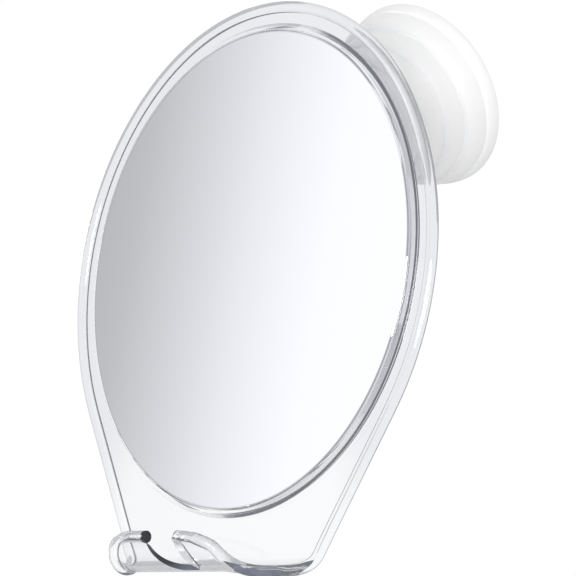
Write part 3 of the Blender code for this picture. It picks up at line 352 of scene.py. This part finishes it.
def turned(name, profile, segments, closed=False, place=None):
    """Surface of revolution about the y axis: each (radius, y) of the profile
    becomes a circle (r cos t, y, r sin t).  A radius of zero is one pole point."""
    profile = np.asarray(profile, float)
    turn = np.arange(segments) * (math.tau / segments)
    rings, rows, count = [], [], 0
    for radius, y in profile:
        if radius < 1e-9:
            ring = np.array([[0.0, y, 0.0]])
            rows.append(np.full(segments, count))
        else:
            ring = np.stack([radius * np.cos(turn), np.full(segments, y),
                             radius * np.sin(turn)], 1)
            rows.append(count + np.arange(segments))
        count += len(ring)
        rings.append(ring)
    points = np.concatenate(rings)
    if closed:
        rows.append(rows[0])
    faces = []
    for one, two in zip(rows, rows[1:]):
        quads = np.stack([one, np.roll(one, -1), np.roll(two, -1), two], 1)
        if one[0] == one[1]:
            quads = quads[:, [0, 2, 3]]
        elif two[0] == two[1]:
            quads = quads[:, [0, 1, 2]]
        faces.extend(map(tuple, quads))
    if place is not None:
        points = place(points)
    mesh = bpy.data.meshes.new(name)
    mesh.from_pydata(points.tolist(), [], [tuple(int(i) for i in f) for f in faces])
    return outward(mesh)


def outward(mesh):
    """Turn a closed mesh's faces outwards, and shade its gentle bends smooth."""
    shape = bmesh.new()
    shape.from_mesh(mesh)
    bmesh.ops.recalc_face_normals(shape, faces=shape.faces)
    shape.to_mesh(mesh)
    shape.free()
    mesh.shade_smooth()
    mesh.set_sharp_from_angle(angle=math.radians(SHARP_BEND))
    return mesh


def merged_copy(node, name):
    """Copy of a CAD node's mesh with its loose triangles merged and shaded smooth."""
    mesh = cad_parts[node].data.copy()
    mesh.name = name
    mesh.materials.clear()
    shape = bmesh.new()
    shape.from_mesh(mesh)
    bmesh.ops.remove_doubles(shape, verts=shape.verts, dist=2e-6)
    shape.to_mesh(mesh)
    shape.free()
    mesh.shade_smooth()
    mesh.set_sharp_from_angle(angle=math.radians(SHARP_BEND))
    return mesh


def even_normals(made):
    """Let large faces set the normals at their corners, so that flats stay flat."""
    weighted = made.modifiers.new("even_normals", "WEIGHTED_NORMAL")
    weighted.keep_sharp = True
    weighted.weight = 80
    return made


def knob_outline():
    """Outline of the knob, each tier a quarter ellipse from its front to its crease."""
    front, pitch, step, tiers = -34.7, 7.1, 3.3, 4
    turn = np.linspace(0, math.pi / 2, 17)
    rows = []
    for tier in range(tiers):
        start = 14.6 if tier == 0 else 16.2 + step * tier
        rise = 4.9 if tier == 0 else step
        rows.append(np.stack([start + rise * np.sin(turn),
                              front + pitch * (tier + 1 - np.cos(turn))], 1))
    crest = np.stack([29.4 + 1.4 * np.sin(turn), -6.3 + 3.9 * (1 - np.cos(turn))], 1)
    back = np.stack([30.8 - 0.9 * (1 - np.cos(turn)), -2.4 + 1.1 * np.sin(turn)], 1)
    inside = [(28.6, -1.3), (28.6, -3.8), (26.76, -6.3), (18.9, -23.21), (17.4, -23.21),
              (17.4, -15.7), (12.6, -15.7), (12.6, -29.5), (7.6, -29.5), (7.6, -32.3),
              (5.5, -32.3), (5.5, -34.7)]
    outline = np.concatenate(rows + [crest[1:], back[1:], np.array(inside)])
    keep = np.concatenate([[True], np.linalg.norm(np.diff(outline, axis=0), axis=1) > 1e-3])
    return outline[keep] * MM


def make_knob():
    """The twist knob with its four soft tiers and the plain base ring."""
    mesh = turned("twist_knob", knob_outline(), 180, closed=True)
    mesh.set_sharp_from_angle(angle=math.radians(40))
    return piece("twist_knob", mesh, "knob", [WHITE], "stepped_knob")


def make_mirror():
    """The round mirror with a narrow ground bevel at its front and back edge."""
    radius, thick = MIRROR_RADIUS, 2.0
    profile = filleted([(0, 0), (radius - 0.6, 0), (radius - 0.3, 0), (radius, 0.3),
                        (radius, thick - 0.15), (radius - 0.15, thick), (0, thick)], 0.08) * MM
    mesh = turned("round_mirror", profile, 256, place=from_head)
    return piece("round_mirror", mesh, "head", [SILVER], "mirror_disc")


def make_pad():
    """The suction pad: soft rounded rim and a bossed middle that the stem pulls up."""
    profile = [(0, -1.2), (6.9, -1.2), (6.9, -4.0), (4.3, -4.0), (4.3, -5.6), (10.0, -5.6),
               (10.0, -2.2), (23.8, -2.2), (27.8, -1.0), (27.8, 0), (0, 0)]
    mesh = turned("suction_pad_soft", filleted(profile, 0.4) * MM, 128)
    made = piece("suction_pad_soft", mesh, None, [VINYL], "suction_pad")
    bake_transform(made)
    return made


def side_at(s):
    """Half width of the bead's path, s below the start of the curl."""
    return SIDE_HALF - s * math.tan(SIDE_ANGLE)


def evenly(points, step):
    """A path walked again in even steps: its length is measured along its chords,
    and each coordinate is read off at equal lengths."""
    points = np.asarray(points, float)
    length = np.concatenate([[0], np.cumsum(np.linalg.norm(np.diff(points, axis=0), axis=1))])
    count = max(2, int(round(length[-1] / step)) + 1)
    at = np.linspace(0, length[-1], count)
    return np.stack([np.interp(at, length, points[:, k]) for k in (0, 1)], 1)


def ease(share):
    """Smooth step: 3 t^2 - 2 t^3 of a share held between 0 and 1."""
    share = np.clip(share, 0, 1)
    return share * share * (3 - 2 * share)


def sheet_point(x, s, radius):
    """Point of the unrolled sheet (x, s) at a radius from the curl's axis: straight
    down where s is negative, else turned about the axis by s over the mid radius."""
    turn = np.maximum(s, 0) / CURL_PATH
    return np.stack([x + 0 * turn, CURL_AXIS + radius * np.cos(turn),
                     -CURL_DROP - np.minimum(s, 0) - radius * np.sin(turn)], -1)


def outline():
    """The sheet's free edge, unrolled, as sections of (x, s) with what ends them:
    the beaded left side and tab, the cut notch, the beaded wave and right side,
    and the beaded round."""
    start = PATH_DROP - CURL_DROP + PATH_RADIUS * math.sin(SIDE_ANGLE)
    bend = (side_at(0) - CURL_HALF) / math.tan(SIDE_ANGLE)
    left = filleted([(-side_at(start), start), (-CURL_HALF, bend), (-CURL_HALF, LIP_END),
                     (NOTCH_TOP_LEFT, LIP_END)], (12.0, 4.0), 16)
    right = filleted([(NOTCH_TOP_RIGHT, LIP_END), *WAVE, (WAVE_FOOT, SADDLE),
                      (side_at(SADDLE), SADDLE), (side_at(start), start)],
                     (40.0, 40.0, 12.0, 17.0), 24)
    share = np.linspace(1, 0, 60) ** 1.6
    rise = NOTCH_FLOOR + (LIP_END - NOTCH_FLOOR) * share
    down = np.stack([NOTCH_FOOT_LEFT + (NOTCH_TOP_LEFT - NOTCH_FOOT_LEFT) * share ** 0.66,
                     rise], 1)
    lean = np.clip((share - 0.15) / 0.85, 0, 1) ** 1.42
    up = np.stack([NOTCH_FOOT_RIGHT + (NOTCH_TOP_RIGHT - NOTCH_FOOT_RIGHT) * lean, rise],
                  1)[::-1]
    below = LIP_END - 2.5
    down = down[down[:, 1] < below - 0.8]
    down = filleted(np.concatenate([[(NOTCH_TOP_LEFT, below)], down]), 1.2)
    up = up[up[:, 1] < below - 0.8]
    up = filleted(np.concatenate([up, [(NOTCH_TOP_RIGHT, below)]]), 1.2)
    floor = filleted([down[-6], (NOTCH_FOOT_LEFT, NOTCH_FLOOR),
                      (NOTCH_FOOT_RIGHT, NOTCH_FLOOR), up[5]], (6.0, 2.0), 8)
    sweep = np.linspace(-SIDE_ANGLE, math.pi + SIDE_ANGLE, 250)[1:-1]
    round_edge = np.stack([PATH_RADIUS * np.cos(sweep),
                           PATH_DROP - CURL_DROP - PATH_RADIUS * np.sin(sweep)], 1)
    return [("bead", evenly(left, 0.8)), ("left", evenly(down[:-5], 0.55)),
            ("floor", evenly(floor, 0.4)[1:]), ("right", evenly(up[5:], 0.55)[1:]),
            ("bead", evenly(right, 0.8)), ("bead", round_edge)]


def clear_shell():
    """The clear frame as one closed surface on a grid (u, v).

    u walks round the outline.  v runs from the middle of the web's front out over
    the pocket and the mirror ring, along a straight line of the unrolled sheet to
    the edge, round the bead or across the cut, and back over the rear to the
    middle of the web's back.  Returns the grid, and which of its faces are dark."""
    sections = outline()
    kind = np.concatenate([[k] * len(p) for k, p in sections])
    path = np.concatenate([p for k, p in sections])
    count = len(path)
    bead = kind == "bead"
    first_cut = int(np.argmax(~bead))
    last_cut = count - 1 - int(np.argmax((~bead)[::-1]))
    tangent = np.roll(path, -1, 0) - np.roll(path, 1, 0)
    for k, (a, b) in {first_cut - 1: (-1, 0), first_cut: (0, 1), last_cut: (-1, 0),
                      last_cut + 1: (0, 1)}.items():
        tangent[k] = path[k + b] - path[k + a]
    tangent /= np.linalg.norm(tangent, axis=1)[:, None]
    out = np.stack([-tangent[:, 1], tangent[:, 0]], 1)
    x, s = path.T
    angle = np.unwrap(np.arctan2(-CURL_DROP - s, x))
    angle += math.tau * (angle[0] < 0)
    foot = int(np.argmax(kind == "right"))
    held = int(np.argmax(s[:first_cut] > -8))
    wave = last_cut + 1 + int(np.argmin(np.abs(x[last_cut + 1:last_cut + 90] - WAVE_FOOT)))
    free = wave + int(np.argmax(s[wave:] < -8))
    length = np.concatenate([[0], np.cumsum(np.linalg.norm(np.diff(path, axis=0), axis=1))])
    keys = [held, first_cut - 1, first_cut, foot, last_cut, wave, free]
    turns = [angle[held], *np.radians(LEFT_CUT_TURNS), angle[foot],
             *np.radians(RIGHT_CUT_TURNS), angle[free]]
    angle[held:free] = np.interp(length[held:free], length[keys], turns)

    middle = CURL_PATH
    turn = np.maximum(s, 0) / CURL_PATH
    curled = np.clip(s / 4, 0, 1)
    steep = (out[:, 1] ** 2) * curled
    start = sheet_point(x, s, middle)
    along = np.stack([0 * x, -np.sin(turn), -np.cos(turn)], 1)
    proud = np.stack([0 * x, np.cos(turn), -np.sin(turn)], 1)
    away = out[:, 1:] * along
    away[:, 0] += out[:, 0]

    def meets(radius):
        """Where the bead's circle meets a skin of the sheet: the height above its
        middle solves the circle and the skin's curve together."""
        a, b = 1 - steep, 2 * middle
        c = middle ** 2 + BEAD_RADIUS ** 2 * steep - radius ** 2
        root = np.where(a > 1e-6, (-b + np.sqrt(b * b - 4 * a * c)) / (2 * np.maximum(a, 1e-6)),
                        -c / b)
        return np.clip(root, -BEAD_RADIUS, BEAD_RADIUS)

    def landing(reach, height):
        """Place on the unrolled sheet that is a reach outward of the path."""
        rolled = CURL_PATH * np.arctan2(reach * out[:, 1], middle + height)
        run = reach * out[:, 1] * (1 - curled) + rolled * curled
        return x + reach * out[:, 0], s + run

    column = np.arange(count)
    gap = np.minimum(np.abs(column - first_cut), np.abs(column - last_cut))
    ease_in = np.where(bead, np.interp(gap, (1, 8), (0.3, EASE_IN)), 0.3)
    share = np.linspace(0, 1, EDGE_ROWS)[:, None]
    rows, ends = [], []
    for radius in (CURL_INNER, CURL_OUTER):
        height = meets(radius)
        reach = -np.sqrt(np.maximum(BEAD_RADIUS ** 2 - height ** 2, 0))
        height, reach = np.where(bead, height, 0), np.where(bead, reach, -CUT_ROUND)
        x1, s1 = landing(reach - ease_in, height)
        x1[first_cut - 1] = x1[first_cut] - 0.05
        x1[last_cut + 1] = x1[last_cut] + 0.05
        ends.append((height, (x1, s1)))
    front, back = ends
    turn_in = -math.pi - np.arcsin(front[0] / BEAD_RADIUS)
    turn_out = math.pi - np.arcsin(np.clip(back[0] / BEAD_RADIUS, -1, 1))
    theta = turn_in + (turn_out - turn_in) * share
    wall = np.concatenate([np.linspace(0, 1, 4), np.ones(EDGE_ROWS - 8), np.linspace(1, 0, 4)])
    cut_reach = -CUT_ROUND * (1 - np.sin(wall * math.pi / 2))[:, None]
    thick = CURL_OUTER - CURL_INNER
    rounded = CUT_ROUND * (1 - np.cos(wall * math.pi / 2))
    depth = np.concatenate([rounded[:4],
                            np.linspace(CUT_ROUND, thick - CUT_ROUND, EDGE_ROWS - 6)[1:-1],
                            thick - rounded[-4:]])[:, None]
    reach = np.where(bead, BEAD_RADIUS * np.cos(theta), cut_reach)
    height = np.where(bead, BEAD_RADIUS * np.sin(theta), CURL_INNER + depth - middle)
    edge = start + reach[..., None] * away + height[..., None] * proud

    def ring(radius, y):
        """A circle about the mirror's middle at the columns' angles."""
        return np.stack([radius * np.cos(angle), np.full(count, y), radius * np.sin(angle)], 1)

    def skin(radius, circle, target):
        """Straight lines of the unrolled sheet from a circle to the edge."""
        x0, s0 = circle * np.cos(angle), -CURL_DROP - circle * np.sin(angle)
        x1, s1 = target
        knee = np.clip(-s0 / np.where(s1 > 0, s1 - s0, 1), 0, 0.6)
        knee = np.where(s1 > 0, knee, 0.6)
        t = np.concatenate([knee * np.linspace(0, 1, 6)[:, None],
                            knee + (1 - knee) * np.linspace(0, 1, 42)[1:, None]])
        return sheet_point(x0 + (x1 - x0) * t, s0 + (s1 - s0) * t, radius)

    rows += [ring(r, y) for r, y in filleted(
        [(WEB_MIDDLE, WEB_FRONT), (POCKET_RADIUS, WEB_FRONT), (POCKET_RADIUS, 0), (BOSS_RADIUS, 0),
         (BOSS_FOOT, SHEET_FRONT), (BOSS_FOOT + 0.6, SHEET_FRONT)], (0.15, 0.2, 0.2, 0.3), 4)]
    rows += list(skin(CURL_INNER, BOSS_FOOT + 0.9, front[1]))
    edge_start = len(rows) - 1
    rows += list(edge)
    rows += list(skin(CURL_OUTER, BOSS_RADIUS + 0.9, back[1])[::-1])
    rows += [ring(r, y) for r, y in filleted(
        [(BOSS_RADIUS + 0.6, SHEET_BACK), (BOSS_RADIUS, SHEET_BACK),
         (BOSS_RADIUS, WEB_BACK), (WEB_MIDDLE, WEB_BACK)], (0.25, 0.25), 4)]
    # Painted shade: faces marked here take the near-black edge finish: the sawn faces of the
    # notch, only a thin painted dark line on the right cut, the cap at the left corner, and a
    # painted dark crescent under the saddle.
    dark = np.zeros((len(rows) - 1, count), bool)
    sawn = ~bead | ~np.roll(bead, -1)
    dark[edge_start + 1:edge_start + EDGE_ROWS, sawn] = True
    dark[edge_start + LINE_ROWS:edge_start + EDGE_ROWS, foot:last_cut] = False
    dark[:, last_cut] = False
    dark[edge_start + 3:edge_start + EDGE_ROWS - 1, first_cut - 2:first_cut] = True
    # The painted dark crescent under the saddle:
    low = np.interp(x, (16, 26, 37), np.radians((20, -26, -20)))
    saddle = (s > 3) & (x > 16.5) & (x < 36)
    shade = saddle & (theta > low) & (theta < math.radians(100))
    dark[edge_start + 1:edge_start + EDGE_ROWS] |= shade[:-1] & shade[1:]
    grid = np.array(rows)
    sag = ease((grid[..., 0] - 3) / 17) * (1 - ease((grid[..., 0] - 34) / 20))
    grid[..., 2] -= SADDLE_SAG * sag * ease((-80 - grid[..., 2]) / 14)
    return grid, dark


def grid_faces(rows, columns):
    """Quads of a grid that is closed along its columns, as corner numbers."""
    a = np.arange(rows * columns).reshape(rows, columns)
    b = np.roll(a, -1, 1)
    return np.stack([a[:-1], b[:-1], b[1:], a[1:]], -1).reshape(-1, 4)


def make_frame():
    """The clear frame, with its sawn notch, and painted shade on the notch's cut faces and on the
    saddle's underside.
    """
    grid, dark = clear_shell()
    rows, columns = grid.shape[:2]
    points = np.concatenate([grid.reshape(-1, 3),
                             [[0, WEB_FRONT, 0], [0, WEB_BACK, 0]]]) * MM
    quads = grid_faces(rows, columns)
    ring = np.arange(columns)
    after = np.roll(ring, -1)
    last = (rows - 1) * columns
    fans = [np.stack([np.full(columns, rows * columns), after, ring], 1),
            np.stack([np.full(columns, rows * columns + 1), last + ring, last + after], 1)]
    faces = quads.tolist() + np.concatenate(fans).tolist()
    mesh = bpy.data.meshes.new("clear_shell")
    mesh.from_pydata(from_head(points).tolist(), [], faces)
    outward(mesh)
    made = piece("clear_shell", mesh, "head", [ACRYLIC, PAINTED_SHADE],
                 "clear_frame")
    marks = np.concatenate([dark.ravel(), np.zeros(2 * columns, bool)])
    mesh.polygons.foreach_set("material_index", marks.astype(np.int32))
    return made


def dress_nodes():
    """Give every CAD node that stays its own material."""
    finishes = {
        WHITE: ["socket_base", "socket_collar", "pressure_ring"],
        STEEL: ["socket_screw_1", "socket_screw_2", "socket_screw_3", "socket_screw_4",
                "swivel_screw", "swivel_washer", "cross_pin", "pad_insert",
                "cam_screw_1", "cam_screw_2", "cam_screw_3"],
        ACETAL: ["ball_liner", "thrust_washer", "cam_ring"],
        RUBBER: ["friction_ring", "stem_seal"],
        FOAM: ["mounting_tape"],
    }
    for finish, names in finishes.items():
        for name in names:
            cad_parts[name].data.materials.clear()
            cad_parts[name].data.materials.append(finish)


def smoothed(node, name, body, finish):
    """A merged and smoothed copy of a small part, standing for its CAD node."""
    made = piece(name, merged_copy(node, name), body, [finish], node)
    return even_normals(made)


dress_nodes()
make_knob()
make_mirror()
make_pad()
make_frame()
smoothed("socket_base", "socket_cup", "head", WHITE)
smoothed("socket_collar", "grip_collar", "head", WHITE)
smoothed("ball_stud", "ball_and_neck", "stud", WHITE)
smoothed("pull_stem", "pull_stem_smooth", "stem", WHITE)


def plane(name, centre, across, along):
    """A flat card through a centre, spanned by two half-width vectors."""
    centre, across, along = Vector(centre), Vector(across), Vector(along)
    mesh = bpy.data.meshes.new(name)
    mesh.from_pydata([centre - across - along, centre + across - along,
                      centre + across + along, centre - across + along], [], [(0, 1, 2, 3)])
    made = bpy.data.objects.new(name, mesh)
    bpy.context.scene.collection.objects.link(made)
    return made


def glow(name, build):
    """An emission material whose colour comes from build(finish)."""
    made = Finish(name)
    made.nodes.remove(made.shader)
    emission = made.node("ShaderNodeEmission")
    made.links.new(build(made), emission.inputs["Color"])
    made.links.new(emission.outputs[0], made.nodes["Material Output"].inputs["Surface"])
    return made.material


def add_softbox_card():
    """The gradient card that the mirror reflects, darker at the mirror's left."""
    normal = Vector(HEAD @ np.array((0, -1.0, 0)))
    face = Vector(from_head((0, 0, 0)))

    def mirrored(way):
        return way - 2 * way.dot(normal) * normal

    centre = face + mirrored(LOOK) * CARD_AWAY
    across, along = mirrored(RIGHT), mirrored(DOWN)
    card = plane("gradient_card", centre, across * CARD_HALF, along * CARD_HALF)
    way = (across * math.cos(FALL) + along * math.sin(FALL)).normalized()

    def tone(made):
        offset = made.node("ShaderNodeVectorMath", operation="SUBTRACT")
        made.links.new(made.place, offset.inputs[0])
        offset.inputs[1].default_value = centre
        dot = made.node("ShaderNodeVectorMath", operation="DOT_PRODUCT")
        made.links.new(offset.outputs[0], dot.inputs[0])
        dot.inputs[1].default_value = way
        share = made.ranged(dot.outputs["Value"], 0, 1, (-50 * MM, 40 * MM))
        ramp = made.node("ShaderNodeValToRGB")
        stops = ramp.color_ramp.elements
        for at in (0.1, 0.3775, 0.52, 0.7, 0.82):
            stops.new(at)
        for stop, level in zip(stops, (0.52, 0.553, 0.752, 0.865, 0.975, 1.028, 1.045)):
            stop.color = (level * 0.988, level, level * 1.036, 1)
        made.links.new(share, ramp.inputs["Fac"])
        return ramp.outputs["Color"]

    card.data.materials.append(glow("gradient_card", tone))
    card.visible_camera = False
    card.visible_diffuse = False
    card.visible_shadow = False
    return card


def add_floor():
    """A plain pale floor under the object, below the photograph's view."""
    floor = plane("floor", (0, 0, -0.55), (0.9, 0, 0), (0, 0.9, 0))
    made = Finish("pale_floor", Roughness=0.7)
    made.feed("Base Color", made.blend(made.ranged(made.noise(0.2), 0, 1),
                                       (0.80, 0.80, 0.80, 1), (0.83, 0.83, 0.83, 1)))
    floor.data.materials.append(made.material)
    return floor


def add_world():
    """White backdrop in the camera's direction, dimmer towards the room's sides."""
    world = bpy.data.worlds.new("studio")
    bpy.context.scene.world = world
    world.use_nodes = True
    nodes, links = world.node_tree.nodes, world.node_tree.links
    way = nodes.new("ShaderNodeTexCoord").outputs["Generated"]
    dot = nodes.new("ShaderNodeVectorMath")
    dot.operation = "DOT_PRODUCT"
    links.new(way, dot.inputs[0])
    dot.inputs[1].default_value = LOOK
    ramp = nodes.new("ShaderNodeMapRange")
    ramp.interpolation_type = "SMOOTHSTEP"
    links.new(dot.outputs["Value"], ramp.inputs["Value"])
    for key, value in (("From Min", 0.2), ("From Max", 0.8), ("To Min", 0.60),
                       ("To Max", 1.02)):
        ramp.inputs[key].default_value = value
    links.new(ramp.outputs["Result"], nodes["Background"].inputs["Strength"])
    nodes["Background"].inputs["Color"].default_value = (1, 1, 1, 1)


def add_light(name, place, target, size, power):
    """A soft area light of a size in metres, aimed at a target."""
    light = bpy.data.lights.new(name, "AREA")
    light.shape = "DISK"
    light.size = size
    light.energy = power
    made = bpy.data.objects.new(name, light)
    made.location = place
    made.rotation_euler = (Vector(target) - Vector(place)).to_track_quat("-Z", "Y").to_euler()
    bpy.context.scene.collection.objects.link(made)
    return made


def add_camera():
    """The camera at the photograph's angle, far off with a long lens."""
    camera = bpy.data.cameras.new("camera")
    camera.lens = LENS
    camera.sensor_width = SENSOR
    focal = LENS / SENSOR * PIXELS
    distance = focal / PIXELS_PER_METRE
    face = Vector(from_head((0, 0, 0)))
    aim = face + RIGHT * ((PIXELS / 2 - FACE_AT[0]) / PIXELS_PER_METRE)
    aim += DOWN * ((PIXELS / 2 - FACE_AT[1]) / PIXELS_PER_METRE)
    made = bpy.data.objects.new("camera", camera)
    axes = Matrix((RIGHT, -DOWN, -LOOK)).transposed().to_4x4()
    made.matrix_world = Matrix.Translation(aim - LOOK * distance) @ axes
    bpy.context.scene.collection.objects.link(made)
    bpy.context.scene.camera = made
    return made


add_camera()
add_world()
add_floor()
add_softbox_card()
add_light("key", (1.1, -1.4, 0.5), (0, -0.05, 0), 0.9, 20)
add_light("top", (0.2, -0.3, 1.6), (0, -0.05, 0), 1.0, 2)

scene = bpy.context.scene
scene.view_settings.view_transform = "Standard"
scene.view_settings.look = "None"
